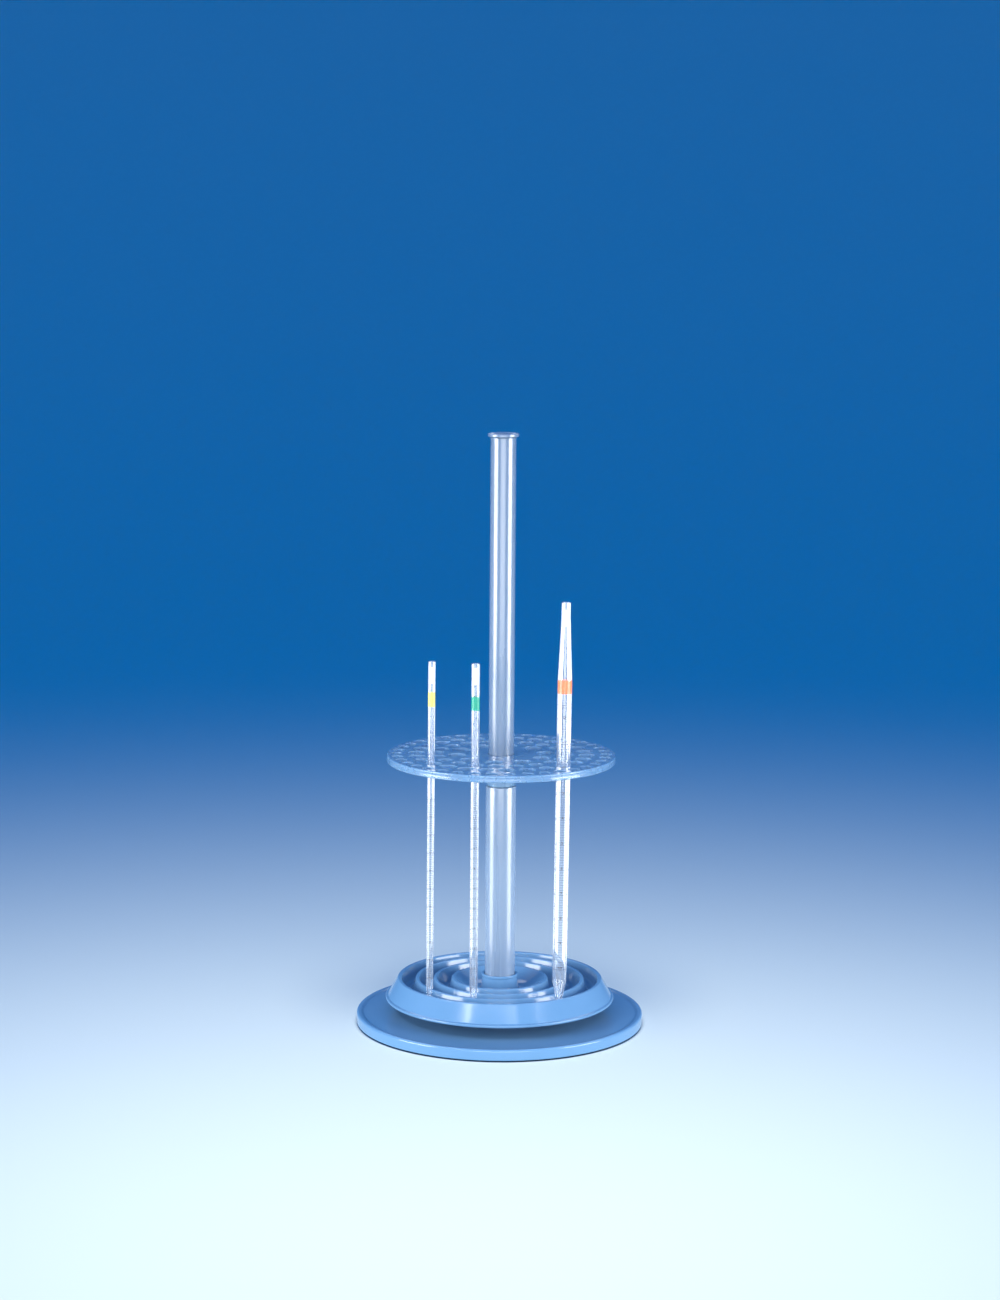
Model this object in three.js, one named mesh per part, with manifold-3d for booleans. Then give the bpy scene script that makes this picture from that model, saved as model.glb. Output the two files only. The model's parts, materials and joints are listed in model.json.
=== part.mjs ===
// Revolving pipette stand with three graduated glass pipettes.
// Millimetres, +Z up. The origin is on the stand's own axis, at the level the rubber feet rest on.
// A flat round base carries a tray that turns on a bolt. The tray has ring troughs for the
// pipettes' tips, and a two-part tubular post that holds a perforated disc above it.

import * as THREE from "three";
import { mergeVertices } from "three/addons/utils/BufferGeometryUtils.js";
import Module from "manifold-3d";

const wasm = await Module();
wasm.setup();

// ---------------------------------------------------------------- driving dimensions
const GAP = 0.3; // left between pieces that touch
const EDGE = 0.6; // softened corners
const DRAFT = 0.4; // how much a moulded wall leans over its height
const CUT = 1; // how far a cutting solid passes the faces it cuts

const STAND_HEIGHT = 450;
const BASE_RADIUS = 109;
const BASE_LIFT = 1; // how far the rubber feet hold the base's skirt off the table
const BASE_RIM_TOP = 9.4;
const BASE_RIM_BEND = 1.9; // radius of the rolled edge
const BASE_UNDERSIDE = 6.6;
const BASE_SKIRT = 2.4; // wall of the base's edge
const BASE_RIB = { radius: 60, root: 1.5, tip: 1.1, bottom: 3 };
const BASE_HUB_TOP = 10.8;
const BASE_BORE = 6.5;

const GLIDE_SEAT = { inner: 23, outer: 33, height: 9.6 };
const GLIDE_RING = { inner: 24, outer: 32, height: 3.5 };
const FOOT = { radius: 7.5, circle: 94, count: 4 };

const TRAY_FLANGE_RADIUS = 86.9;
const TRAY_FLANGE_BOTTOM = 19.2;
const TRAY_FLANGE_HEIGHT = 2.4;
const TRAY_RIM_RADIUS = 76.1; // middle of the rim's crest
const TRAY_RIM_TOP = 35;
const TRAY_RIM_FOOT = 4.6; // from the rim's crest to the foot of its inner slope
const TRAY_UNDERSIDE = 21.6;
const TRAY_HUB = 9.5;
const TROUGH_FLOOR = 24;
const RIDGE_RADII = [62.6, 48.9, 35.2];
const RIDGE_TOP = 34.8;
const RIDGE = { root: 4.2, aboveFillet: 2.6, fillet: 1.2, crest: 1.3 };
const FUNNEL = { outer: 22, outerHeight: 27, inner: 17.5, floor: 25.6 };
const BOSS_RADIUS = 13.9;
const BOSS_TOP = 38.3;
const BOSS_LIP = 1.6; // height of the band round the boss's mouth
const SOCKET_FLOOR = 25.7;

const BOLT = { radius: 4, headBottom: 1.4, headHeight: 3.4, top: 36.5 };
const BUSH = { radius: 6.2, flange: 9, flangeHeight: 1.2 };
const PIVOT_WASHER = { radius: 8.5, height: 1.2 };
const LOCK_WASHER = { radius: 7.4, height: 1.6 };
const NUT_HEIGHT = 6.4;
const ACROSS_FLATS = 13; // bolt head and nut

const LOWER_TUBE = { radius: 11.5, wall: 1.6, top: 183.8 };
const UPPER_TUBE = { radius: 9.55, wall: 1.5 };

const DISC_RADIUS = 86.25;
const DISC_TOP = 208;
const DISC_THICKNESS = 5.2;
const DISC_NECK = { radius: 10.75, top: 188.4, flare: 12.4, flareHeight: 193, underDisc: 14.2 };
const DISC_SOCKET_FLOOR = 190;
const SPIGOT = { bottom: 168, wall: 2 };

// Four rings of holes: ring radius, number of holes, hole radius, angle of the first hole.
const HOLE_RINGS = [
  { radius: 34, count: 10, hole: 7, start: 9 },
  { radius: 49, count: 20, hole: 5.9, start: -4.6 },
  { radius: 64, count: 26, hole: 6.25, start: -3.2 },
  { radius: 79, count: 38, hole: 4.4, start: 0 },
];

const CAP = { radius: 11.6, flange: 2.5, plugDepth: 12, plugWall: 1.4, rim: 1.4, dish: 0.6 };

// Each pipette stands with its tip in a trough and leans on the side of its hole in the disc.
// foot and atDisc are the axis's X and Y at the tip and at the disc; heights are along the axis.
const TIP_HEIGHT = 24.7;
const PIPETTES = [
  {
    name: "yellow_pipette", foot: [-52.6, -43.4], atDisc: [-51.9, -40.6], length: 259.9,
    radius: 2.6, bore: 1.54, tip: 1.1, tipBore: 0.4, taper: 15, plug: [243.2, 255.6],
  },
  {
    name: "green_pipette", foot: [-19.5, -52.4], atDisc: [-19.3, -47.4], length: 259.5,
    radius: 3.05, bore: 2.05, tip: 1.2, tipBore: 0.5, taper: 15, plug: [243.6, 256.2],
  },
  {
    name: "orange_pipette", foot: [44.3, -51.6], atDisc: [45.9, -45.4], length: 304.9,
    radius: 5.25, bore: 4.1, tip: 1.7, tipBore: 0.8, taper: 21.1, plug: [287.4, 298.8],
    shoulder: 247.5, neckStart: 293.3, neck: 3.3, neckBore: 2.2, tipEnd: 6.7, tipEndRadius: 2.1,
  },
];

const MOUTH_EDGE = 0.4; // fire-polished corner of a pipette's mouth

const RING_SIDES = 40;
const TUBE_SIDES = 24;
const FOOT_SIDES = 16;
const PIPETTE_SIDES = 12;
const HOLE_SIDES = 8;
const HEX_SIDES = 6;

// ---------------------------------------------------------------- materials
const finish = (color, roughness, metalness = 0, opacity = 1) =>
  new THREE.MeshStandardMaterial({ color, roughness, metalness, opacity, transparent: opacity < 1 });
const bluePolypropylene = () => finish("#5d8fcf", 0.32);
const frostedPolypropylene = () => finish("#aebfe4", 0.38, 0, 0.75);
const glass = () => finish("#e9f3fb", 0.05, 0, 0.35);
const cotton = () => finish("#f7f7f5", 0.95);
const rubber = () => finish("#3c4046", 0.85);
const acetal = () => finish("#eceae2", 0.45);
const steel = () => finish("#b9bcc0", 0.35, 1);

// ---------------------------------------------------------------- geometry helpers
// Only positions are left, shared corners are one vertex and flat triangles are dropped.
function weld(geometry) {
  geometry.deleteAttribute("normal");
  geometry.deleteAttribute("uv");
  const welded = mergeVertices(geometry, 1e-4);
  const index = welded.getIndex().array;
  const kept = [];
  for (let i = 0; i < index.length; i += 3) {
    const [a, b, c] = index.slice(i, i + 3);
    if (a !== b && b !== c && c !== a) {
      kept.push(a, b, c);
    }
  }
  welded.setIndex(kept);
  return welded;
}

// A solid of revolution about Z. Its outline is [radius, height] pairs, counter-clockwise
// with the radius to the right, and closes on itself unless it starts and ends on the axis.
function revolve(outline, sides) {
  const points = outline.map(([radius, height]) => new THREE.Vector2(radius, height));
  if (points[0].x > 0) {
    points.push(points[0].clone());
  }
  const lathe = new THREE.LatheGeometry(points, sides);
  lathe.rotateX(Math.PI / 2);
  return weld(lathe);
}

// Outline points along an arc about (radius, height), with its angles in degrees.
function arc(radius, height, bend, from, to, steps) {
  const points = [];
  for (let i = 0; i <= steps; i += 1) {
    const angle = THREE.MathUtils.degToRad(from + ((to - from) * i) / steps);
    points.push([radius + bend * Math.cos(angle), height + bend * Math.sin(angle)]);
  }
  return points;
}

const tube = (outer, inner, bottom, top, sides = TUBE_SIDES) =>
  revolve([[inner, bottom], [outer, bottom], [outer, top], [inner, top]], sides);

// An upright prism whose flats, not its corners, are at the given radius.
function prism(radius, bottom, top, sides) {
  const corner = radius / Math.cos(Math.PI / sides);
  const shape = new THREE.CylinderGeometry(corner, corner, top - bottom, sides);
  shape.rotateX(Math.PI / 2);
  shape.translate(0, 0, (bottom + top) / 2);
  return weld(shape);
}

function toSolid(geometry) {
  const vertProperties = new Float32Array(geometry.getAttribute("position").array);
  const triVerts = new Uint32Array(geometry.getIndex().array);
  return new wasm.Manifold(new wasm.Mesh({ numProp: 3, vertProperties, triVerts }));
}

function toGeometry(solid) {
  const mesh = solid.getMesh();
  const geometry = new THREE.BufferGeometry();
  geometry.setAttribute("position", new THREE.BufferAttribute(mesh.vertProperties, 3));
  geometry.setIndex(new THREE.BufferAttribute(mesh.triVerts, 1));
  return geometry;
}

const stand = new THREE.Group();

function place(name, geometry, material, parent = stand) {
  geometry.computeVertexNormals();
  const mesh = new THREE.Mesh(geometry, material);
  mesh.name = name;
  parent.add(mesh);
  return mesh;
}

// ---------------------------------------------------------------- base
// A shallow dish, hollow underneath, with a rolled edge and a seat for the glide ring.
function baseOutline() {
  const skirt = BASE_RADIUS - BASE_SKIRT;
  const bend = BASE_RIM_BEND;
  const { radius, root, tip, bottom } = BASE_RIB;
  return [
    [BASE_BORE, BASE_UNDERSIDE], [radius - root, BASE_UNDERSIDE], [radius - tip, bottom],
    [radius + tip, bottom], [radius + root, BASE_UNDERSIDE], [skirt - DRAFT, BASE_UNDERSIDE],
    [skirt, BASE_LIFT], [BASE_RADIUS - EDGE, BASE_LIFT], [BASE_RADIUS, BASE_LIFT + EDGE],
    ...arc(BASE_RADIUS - bend, BASE_RIM_TOP - bend, bend, 0, 90, 2),
    [BASE_RADIUS - 2.5 * bend, BASE_RIM_TOP - EDGE], [TRAY_FLANGE_RADIUS, BASE_RIM_TOP],
    [GLIDE_SEAT.outer, BASE_HUB_TOP], [GLIDE_SEAT.outer, GLIDE_SEAT.height],
    [GLIDE_SEAT.inner, GLIDE_SEAT.height], [GLIDE_SEAT.inner, BASE_HUB_TOP],
    [BASE_BORE, BASE_HUB_TOP],
  ];
}
place("base_plate", revolve(baseOutline(), RING_SIDES), bluePolypropylene());

for (let i = 0; i < FOOT.count; i += 1) {
  const top = BASE_UNDERSIDE - GAP;
  const outline = [
    [0, 0], [FOOT.radius - EDGE, 0], [FOOT.radius, EDGE], [FOOT.radius - DRAFT, top], [0, top],
  ];
  const foot = place(`rubber_foot_${i + 1}`, revolve(outline, FOOT_SIDES), rubber());
  const angle = ((i + 0.5) / FOOT.count) * Math.PI * 2;
  foot.position.set(FOOT.circle * Math.cos(angle), FOOT.circle * Math.sin(angle), 0);
}

// The tray's skirt runs on the glide ring, and the bolt turns in the flanged bush.
const glideBottom = GLIDE_SEAT.height + GAP;
const glideTop = glideBottom + GLIDE_RING.height;
place("glide_ring", tube(GLIDE_RING.outer, GLIDE_RING.inner, glideBottom, glideTop), acetal());

const boltHole = BOLT.radius + GAP;
const bushShoulder = BASE_HUB_TOP + GAP;
const bushTop = bushShoulder + BUSH.flangeHeight;
const bushOutline = [
  [boltHole, BASE_UNDERSIDE + GAP], [BUSH.radius, BASE_UNDERSIDE + GAP],
  [BUSH.radius, bushShoulder], [BUSH.flange, bushShoulder], [BUSH.flange, bushTop],
  [boltHole, bushTop],
];
place("pivot_bush", revolve(bushOutline, TUBE_SIDES), acetal());

const washerTop = BASE_UNDERSIDE - GAP;
const washerBottom = washerTop - PIVOT_WASHER.height;
place("pivot_washer", tube(PIVOT_WASHER.radius, boltHole, washerBottom, washerTop), steel());

// ---------------------------------------------------------------- turning tray
// The outer slope and the crest of a ridge.
function ridgeOutside(radius) {
  return [
    [radius + RIDGE.root, TROUGH_FLOOR], [radius + RIDGE.aboveFillet, TROUGH_FLOOR + RIDGE.fillet],
    ...arc(radius, RIDGE_TOP - RIDGE.crest, RIDGE.crest, 0, 180, 3),
  ];
}

function ridgeInside(radius) {
  return [
    [radius - RIDGE.aboveFillet, TROUGH_FLOOR + RIDGE.fillet], [radius - RIDGE.root, TROUGH_FLOOR],
  ];
}

function trayOutline() {
  const [outer, middle, inner] = RIDGE_RADII;
  const rim = TRAY_RIM_RADIUS;
  const flange = TRAY_FLANGE_RADIUS;
  const flangeTop = TRAY_FLANGE_BOTTOM + TRAY_FLANGE_HEIGHT;
  const hubBottom = bushTop + GAP;
  const skirtBottom = glideTop + GAP;
  const skirtInner = GLIDE_RING.inner + 2 * DRAFT;
  const skirtOuter = GLIDE_RING.outer - 2 * DRAFT;
  const socket = LOWER_TUBE.radius + GAP;
  return [
    [boltHole, hubBottom], [TRAY_HUB, hubBottom], [TRAY_HUB + DRAFT, TRAY_UNDERSIDE],
    [skirtInner - DRAFT, TRAY_UNDERSIDE], [skirtInner, skirtBottom], [skirtOuter, skirtBottom],
    [skirtOuter + DRAFT, TRAY_UNDERSIDE], [rim - RIDGE.crest, TRAY_UNDERSIDE],
    [rim, TRAY_RIM_TOP - 3 * RIDGE.crest], [flange - BASE_SKIRT, TRAY_FLANGE_BOTTOM],
    [flange - EDGE, TRAY_FLANGE_BOTTOM], [flange, TRAY_FLANGE_BOTTOM + EDGE],
    [flange - DRAFT, flangeTop - EDGE], [flange - 3 * EDGE, flangeTop],
    ...arc(rim, TRAY_RIM_TOP - RIDGE.crest, RIDGE.crest, 0, 180, 3),
    [rim - RIDGE.aboveFillet, TROUGH_FLOOR + RIDGE.fillet], [rim - TRAY_RIM_FOOT, TROUGH_FLOOR],
    ...ridgeOutside(outer), ...ridgeInside(outer),
    ...ridgeOutside(middle), ...ridgeInside(middle),
    ...ridgeOutside(inner),
    [FUNNEL.outer, FUNNEL.outerHeight], [FUNNEL.inner, FUNNEL.floor],
    [BOSS_RADIUS + EDGE, FUNNEL.floor + EDGE], [BOSS_RADIUS - DRAFT, BOSS_TOP - BOSS_LIP - EDGE],
    [BOSS_RADIUS, BOSS_TOP - BOSS_LIP], [BOSS_RADIUS, BOSS_TOP - EDGE],
    [BOSS_RADIUS - EDGE, BOSS_TOP], [socket, BOSS_TOP], [socket, SOCKET_FLOOR],
    [boltHole, SOCKET_FLOOR],
  ];
}
place("tray", revolve(trayOutline(), RING_SIDES), bluePolypropylene());

// ---------------------------------------------------------------- pivot bolt, washer and nut
function pivotBolt() {
  const headTop = BOLT.headBottom + BOLT.headHeight;
  const head = prism(ACROSS_FLATS / 2, BOLT.headBottom, headTop, HEX_SIDES);
  const shank = revolve([
    [0, headTop - CUT], [BOLT.radius, headTop - CUT], [BOLT.radius, BOLT.top - EDGE],
    [BOLT.radius - EDGE, BOLT.top], [0, BOLT.top],
  ], TUBE_SIDES);
  return toGeometry(toSolid(head).add(toSolid(shank)));
}
place("pivot_bolt", pivotBolt(), steel());

const lockWasherBottom = SOCKET_FLOOR + GAP;
const lockWasherTop = lockWasherBottom + LOCK_WASHER.height;
place("lock_washer", tube(LOCK_WASHER.radius, boltHole, lockWasherBottom, lockWasherTop), steel());

function pivotNut() {
  const bottom = lockWasherTop + GAP;
  const top = bottom + NUT_HEIGHT;
  const body = prism(ACROSS_FLATS / 2, bottom, top, HEX_SIDES);
  const bore = prism(boltHole, bottom - CUT, top + CUT, TUBE_SIDES);
  return toGeometry(toSolid(body).subtract(toSolid(bore)));
}
place("pivot_nut", pivotNut(), steel());

// ---------------------------------------------------------------- post
const lowerBore = LOWER_TUBE.radius - LOWER_TUBE.wall;
const lowerTube = tube(LOWER_TUBE.radius, lowerBore, SOCKET_FLOOR + GAP, LOWER_TUBE.top);
place("lower_tube", lowerTube, frostedPolypropylene());

const upperBore = UPPER_TUBE.radius - UPPER_TUBE.wall;
const upperBottom = DISC_SOCKET_FLOOR + GAP;
const flangeBottom = STAND_HEIGHT - CAP.flange;
const upperTube = tube(UPPER_TUBE.radius, upperBore, upperBottom, flangeBottom - GAP);
place("upper_tube", upperTube, frostedPolypropylene());

// A hollow push-in plug under a thin flange that is dished on top.
function topCap() {
  const plug = upperBore - GAP;
  const plugBottom = flangeBottom - CAP.plugDepth;
  const dishRadius = CAP.radius - CAP.rim;
  return revolve([
    [0, flangeBottom], [plug - CAP.plugWall, flangeBottom], [plug - CAP.plugWall, plugBottom],
    [plug, plugBottom], [plug, flangeBottom], [CAP.radius - DRAFT, flangeBottom],
    [CAP.radius, flangeBottom + DRAFT], [CAP.radius, STAND_HEIGHT - DRAFT],
    [CAP.radius - DRAFT, STAND_HEIGHT], [dishRadius, STAND_HEIGHT],
    [dishRadius - DRAFT, STAND_HEIGHT - CAP.dish], [0, STAND_HEIGHT - CAP.dish],
  ], TUBE_SIDES);
}
place("top_cap", topCap(), frostedPolypropylene());

// ---------------------------------------------------------------- perforated disc
// The disc's hub stands on the lower tube, plugs into it, and takes the upper tube from above.
function discBlank() {
  const underside = DISC_TOP - DISC_THICKNESS;
  const hubBottom = LOWER_TUBE.top + GAP;
  const spigot = lowerBore - GAP;
  const bore = spigot - SPIGOT.wall;
  const socket = UPPER_TUBE.radius + GAP;
  return revolve([
    [bore, SPIGOT.bottom], [spigot - EDGE, SPIGOT.bottom], [spigot, SPIGOT.bottom + EDGE],
    [spigot, hubBottom], [DISC_NECK.radius, hubBottom], [DISC_NECK.radius, DISC_NECK.top],
    [DISC_NECK.flare, DISC_NECK.flareHeight], [DISC_NECK.underDisc, underside],
    [DISC_RADIUS - EDGE, underside], [DISC_RADIUS, underside + EDGE],
    [DISC_RADIUS, DISC_TOP - EDGE], [DISC_RADIUS - EDGE, DISC_TOP],
    [socket, DISC_TOP], [socket, DISC_SOCKET_FLOOR], [bore, DISC_SOCKET_FLOOR],
  ], RING_SIDES);
}

function discHoles() {
  const bottom = DISC_TOP - DISC_THICKNESS - CUT;
  const holes = [];
  for (const ring of HOLE_RINGS) {
    for (let i = 0; i < ring.count; i += 1) {
      const angle = THREE.MathUtils.degToRad(ring.start + (360 * i) / ring.count);
      const hole = prism(ring.hole, bottom, DISC_TOP + CUT, HOLE_SIDES);
      hole.rotateZ(angle);
      hole.translate(ring.radius * Math.cos(angle), ring.radius * Math.sin(angle), 0);
      holes.push(toSolid(hole));
    }
  }
  return wasm.Manifold.union(holes);
}
const perforatedDisc = toGeometry(toSolid(discBlank()).subtract(discHoles()));
place("perforated_disc", perforatedDisc, frostedPolypropylene());

// ---------------------------------------------------------------- pipettes
// Outline of a glass tube open at both ends: up the outside, then down the bore.
function pipetteOutline(pipette) {
  const { length, radius, bore, tip, tipBore, taper } = pipette;
  const outside = [[tipBore, 0], [tip, 0]];
  const inside = [];
  if (pipette.neck) {
    outside.push([pipette.tipEndRadius, pipette.tipEnd], [radius, taper]);
    outside.push([radius, pipette.shoulder], [pipette.neck, pipette.neckStart]);
    outside.push([pipette.neck, length - MOUTH_EDGE], [pipette.neck - MOUTH_EDGE, length]);
    inside.push([pipette.neckBore, length], [pipette.neckBore, pipette.neckStart]);
    inside.push([bore, pipette.shoulder], [bore, taper]);
  } else {
    outside.push([radius, taper], [radius, length - MOUTH_EDGE], [radius - MOUTH_EDGE, length]);
    inside.push([bore, length], [bore, taper]);
  }
  return [...outside, ...inside];
}

for (const pipette of PIPETTES) {
  const discMiddle = DISC_TOP - DISC_THICKNESS / 2;
  const foot = new THREE.Vector3(...pipette.foot, TIP_HEIGHT);
  const lean = new THREE.Vector3(...pipette.atDisc, discMiddle).sub(foot).normalize();
  const group = new THREE.Group();
  group.position.copy(foot);
  group.quaternion.setFromUnitVectors(new THREE.Vector3(0, 0, 1), lean);
  stand.add(group);
  place(`${pipette.name}_glass`, revolve(pipetteOutline(pipette), PIPETTE_SIDES), glass(), group);
  const [bottom, top] = pipette.plug;
  const plug = (pipette.neckBore ?? pipette.bore) - GAP;
  const plugOutline = [
    [0, bottom], [plug - MOUTH_EDGE, bottom], [plug, bottom + EDGE],
    [plug, top - EDGE], [plug - MOUTH_EDGE, top], [0, top],
  ];
  place(`${pipette.name}_plug`, revolve(plugOutline, PIPETTE_SIDES), cotton(), group);
}

export default stand;
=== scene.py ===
"""Revolving pipette stand with three graduated glass pipettes, dressed for rendering.

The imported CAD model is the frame. Every fine mesh here takes its overall sizes from that frame
and fills in what the faceted solids leave out: round edges, smooth walls, printed graduations,
colour bands, cotton plugs and moulding marks. Outlines are in millimetres, objects in metres.
"""
import json
import math
import random

import bpy
from mathutils import Matrix, Vector
from mathutils.geometry import delaunay_2d_cdt


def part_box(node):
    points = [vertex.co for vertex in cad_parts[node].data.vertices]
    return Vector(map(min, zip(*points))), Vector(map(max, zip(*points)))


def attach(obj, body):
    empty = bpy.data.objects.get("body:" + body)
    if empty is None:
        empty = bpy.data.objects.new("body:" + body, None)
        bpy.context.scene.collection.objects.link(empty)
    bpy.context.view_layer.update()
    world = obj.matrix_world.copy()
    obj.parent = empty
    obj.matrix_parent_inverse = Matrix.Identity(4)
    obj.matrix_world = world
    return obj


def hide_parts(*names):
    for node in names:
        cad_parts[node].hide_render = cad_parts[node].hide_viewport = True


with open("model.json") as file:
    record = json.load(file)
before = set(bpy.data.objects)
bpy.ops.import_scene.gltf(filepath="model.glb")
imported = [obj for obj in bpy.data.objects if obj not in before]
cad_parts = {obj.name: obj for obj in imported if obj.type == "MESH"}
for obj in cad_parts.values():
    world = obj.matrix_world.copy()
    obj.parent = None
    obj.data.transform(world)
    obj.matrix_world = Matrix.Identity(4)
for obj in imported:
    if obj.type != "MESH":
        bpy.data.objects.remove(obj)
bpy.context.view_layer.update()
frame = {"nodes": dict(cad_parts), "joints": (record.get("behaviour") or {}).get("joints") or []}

MM = 0.001
FINE = 256     # sides of the wide round pieces
ROUND = 96     # sides of the tubes
SMALL = 48     # sides of fittings and pipettes
CLEARANCE = 0.3   # between pieces that touch, in millimetres
BOLT_HOLE = 4.3   # radius of every hole that the pivot bolt goes through


def span(node):
    """(largest X, lowest Z, highest Z) of a CAD node, in millimetres."""
    low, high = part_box(node)
    return high.x / MM, low.z / MM, high.z / MM


# ------------------------------------------------------------------ mesh helpers
def arc_corner(before, corner, after, radius):
    """Points that round a 2-D corner by the given radius, or by what its two sides allow."""
    to_before, to_after = (before - corner), (after - corner)
    a, b = to_before.normalized(), to_after.normalized()
    half = a.angle(b) / 2
    if half > math.radians(89):
        return [corner]
    reach = min(radius / math.tan(half), 0.48 * to_before.length, 0.48 * to_after.length)
    radius = reach * math.tan(half)
    centre = corner + (a + b).normalized() * (radius / math.sin(half))
    start, end = corner + a * reach - centre, corner + b * reach - centre
    turn = math.atan2(start.x * end.y - start.y * end.x, start.dot(end))
    steps = max(2, int(abs(turn) / math.radians(14)) + 1)
    points = []
    for i in range(steps + 1):
        angle = turn * i / steps
        c, s = math.cos(angle), math.sin(angle)
        points.append(centre + Vector((start.x * c - start.y * s, start.x * s + start.y * c)))
    return points


def rounded(outline, closed):
    """An outline of (radius, height) or (radius, height, corner radius) with its corners rounded."""
    places = [Vector(p[:2]) for p in outline]
    points = []
    for i, point in enumerate(outline):
        at_end = not closed and i in (0, len(outline) - 1)
        if len(point) < 3 or at_end:
            points.append(places[i])
        else:
            points += arc_corner(places[i - 1], places[i], places[(i + 1) % len(places)], point[2])
    return points


def new_object(name, vertices, faces, sharp=32):
    """A smooth-shaded object whose edges sharper than the given angle stay sharp."""
    mesh = bpy.data.meshes.new(name)
    mesh.from_pydata([tuple(v) for v in vertices], [], faces)
    mesh.validate()
    mesh.update()
    mesh.shade_smooth()
    mesh.set_sharp_from_angle(angle=math.radians(sharp))
    piece = bpy.data.objects.new(name, mesh)
    bpy.context.scene.collection.objects.link(piece)
    return piece


def revolved(outline, sides):
    """Vertices and faces of a body turned about Z. Its outline runs counter-clockwise with the
    radius to the right, and either closes on itself or starts and ends on the axis."""
    on_axis = outline[0][0] == 0
    points = rounded(outline, not on_axis)
    vertices, faces, rings = [], [], []
    for p in points:
        if p.x < 1e-9:
            rings.append([len(vertices)] * sides)
            vertices.append((0, 0, p.y * MM))
        else:
            rings.append(list(range(len(vertices), len(vertices) + sides)))
            for j in range(sides):
                a = 2 * math.pi * j / sides
                vertices.append((p.x * MM * math.cos(a), p.x * MM * math.sin(a), p.y * MM))
    pairs = list(zip(rings, rings[1:]))
    if not on_axis:
        pairs.append((rings[-1], rings[0]))
    for lower, upper in pairs:
        for j in range(sides):
            k = (j + 1) % sides
            corners = [lower[j], lower[k], upper[k], upper[j]]
            face = [c for i, c in enumerate(corners) if c != corners[i - 1]]
            if len(face) > 2:
                faces.append(face)
    return vertices, faces


def lathe(name, outline, sides=ROUND, sharp=32):
    return new_object(name, *revolved(outline, sides), sharp=sharp)


def finish_piece(piece, material, body, slot, *nodes):
    """Gives a piece its material and the body it rides on, and hides the CAD nodes it replaces. The
    slot is not used.
    """
    piece.data.materials.append(material)
    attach(piece, body)
    if nodes:
        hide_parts(*nodes)
    return piece


# ------------------------------------------------------------------ materials
class Nodes:
    """Short forms for building one material's nodes."""

    def __init__(self, name):
        self.material = bpy.data.materials.new(name)
        self.material.use_nodes = True
        self.tree = self.material.node_tree
        self.shader = self.tree.nodes["Principled BSDF"]
        coordinates = self.tree.nodes.new("ShaderNodeTexCoord")
        self.place = coordinates.outputs["Object"]

    def set(self, **values):
        for key, value in values.items():
            self.shader.inputs[key.replace("_", " ")].default_value = value

    def link(self, source, target):
        self.tree.links.new(source, target)

    def noise(self, scale, detail=3.0, stretch=(1, 1, 1), roughness=0.5):
        mapping = self.tree.nodes.new("ShaderNodeMapping")
        mapping.inputs["Scale"].default_value = stretch
        texture = self.tree.nodes.new("ShaderNodeTexNoise")
        texture.inputs["Scale"].default_value = scale
        texture.inputs["Detail"].default_value = detail
        texture.inputs["Roughness"].default_value = roughness
        self.link(self.place, mapping.inputs["Vector"])
        self.link(mapping.outputs["Vector"], texture.inputs["Vector"])
        return texture.outputs["Fac"]

    def ramp(self, source, stops):
        """Maps a 0 to 1 value to colours: stops are (position, colour) pairs."""
        ramp = self.tree.nodes.new("ShaderNodeValToRGB")
        elements = ramp.color_ramp.elements
        while len(elements) < len(stops):
            elements.new(0.5)
        for element, (position, colour) in zip(elements, stops):
            element.position = position
            element.color = (*colour, 1)
        self.link(source, ramp.inputs["Fac"])
        return ramp.outputs["Color"]

    def between(self, source, low, high, from_low=0.3, from_high=0.7):
        """Maps a value to the range low to high."""
        node = self.tree.nodes.new("ShaderNodeMapRange")
        node.inputs["From Min"].default_value = from_low
        node.inputs["From Max"].default_value = from_high
        node.inputs["To Min"].default_value = low
        node.inputs["To Max"].default_value = high
        self.link(source, node.inputs["Value"])
        return node.outputs["Result"]

    def total(self, first, second):
        node = self.tree.nodes.new("ShaderNodeMath")
        node.operation = "ADD"
        self.link(first, node.inputs[0])
        self.link(second, node.inputs[1])
        return node.outputs[0]

    def bump(self, height, strength, distance):
        node = self.tree.nodes.new("ShaderNodeBump")
        node.inputs["Strength"].default_value = strength
        node.inputs["Distance"].default_value = distance
        self.link(height, node.inputs["Height"])
        self.link(node.outputs["Normal"], self.shader.inputs["Normal"])


def blue_polypropylene():
    """Pigmented moulded plastic: slightly waxy, with faint flow marks and fine orange peel."""
    n = Nodes("blue_polypropylene")
    cloud = n.noise(14, 4)
    n.link(n.ramp(cloud, [(0.2, (0.098, 0.225, 0.39)), (0.8, (0.122, 0.255, 0.43))]),
           n.shader.inputs["Base Color"])
    n.link(n.between(n.noise(90, 3), 0.1, 0.18, 0, 1), n.shader.inputs["Roughness"])
    n.set(IOR=1.49)
    n.bump(n.total(n.noise(240, 1), n.noise(26, 1)), 0.02, 0.0002)
    return n.material


def frosted_polypropylene(name, pale, deep, transmission, stretch):
    """Unpigmented, faintly tinted plastic that lets light through but blurs what is behind it."""
    n = Nodes(name)
    cloud = n.noise(18, 4, stretch)
    n.link(n.ramp(cloud, [(0.1, deep), (0.9, pale)]), n.shader.inputs["Base Color"])
    n.link(n.between(n.noise(120, 3, stretch), 0.2, 0.36, 0, 1), n.shader.inputs["Roughness"])
    n.set(IOR=1.49, Transmission_Weight=transmission, Subsurface_Weight=0.45,
          Subsurface_Scale=0.006, Subsurface_Radius=(0.7, 0.85, 1.0), Coat_Weight=1.0,
          Coat_Roughness=0.16)
    n.bump(n.noise(350, 2), 0.02, 0.0002)
    return n.material


GLASS_INDEX = 1.47


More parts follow.
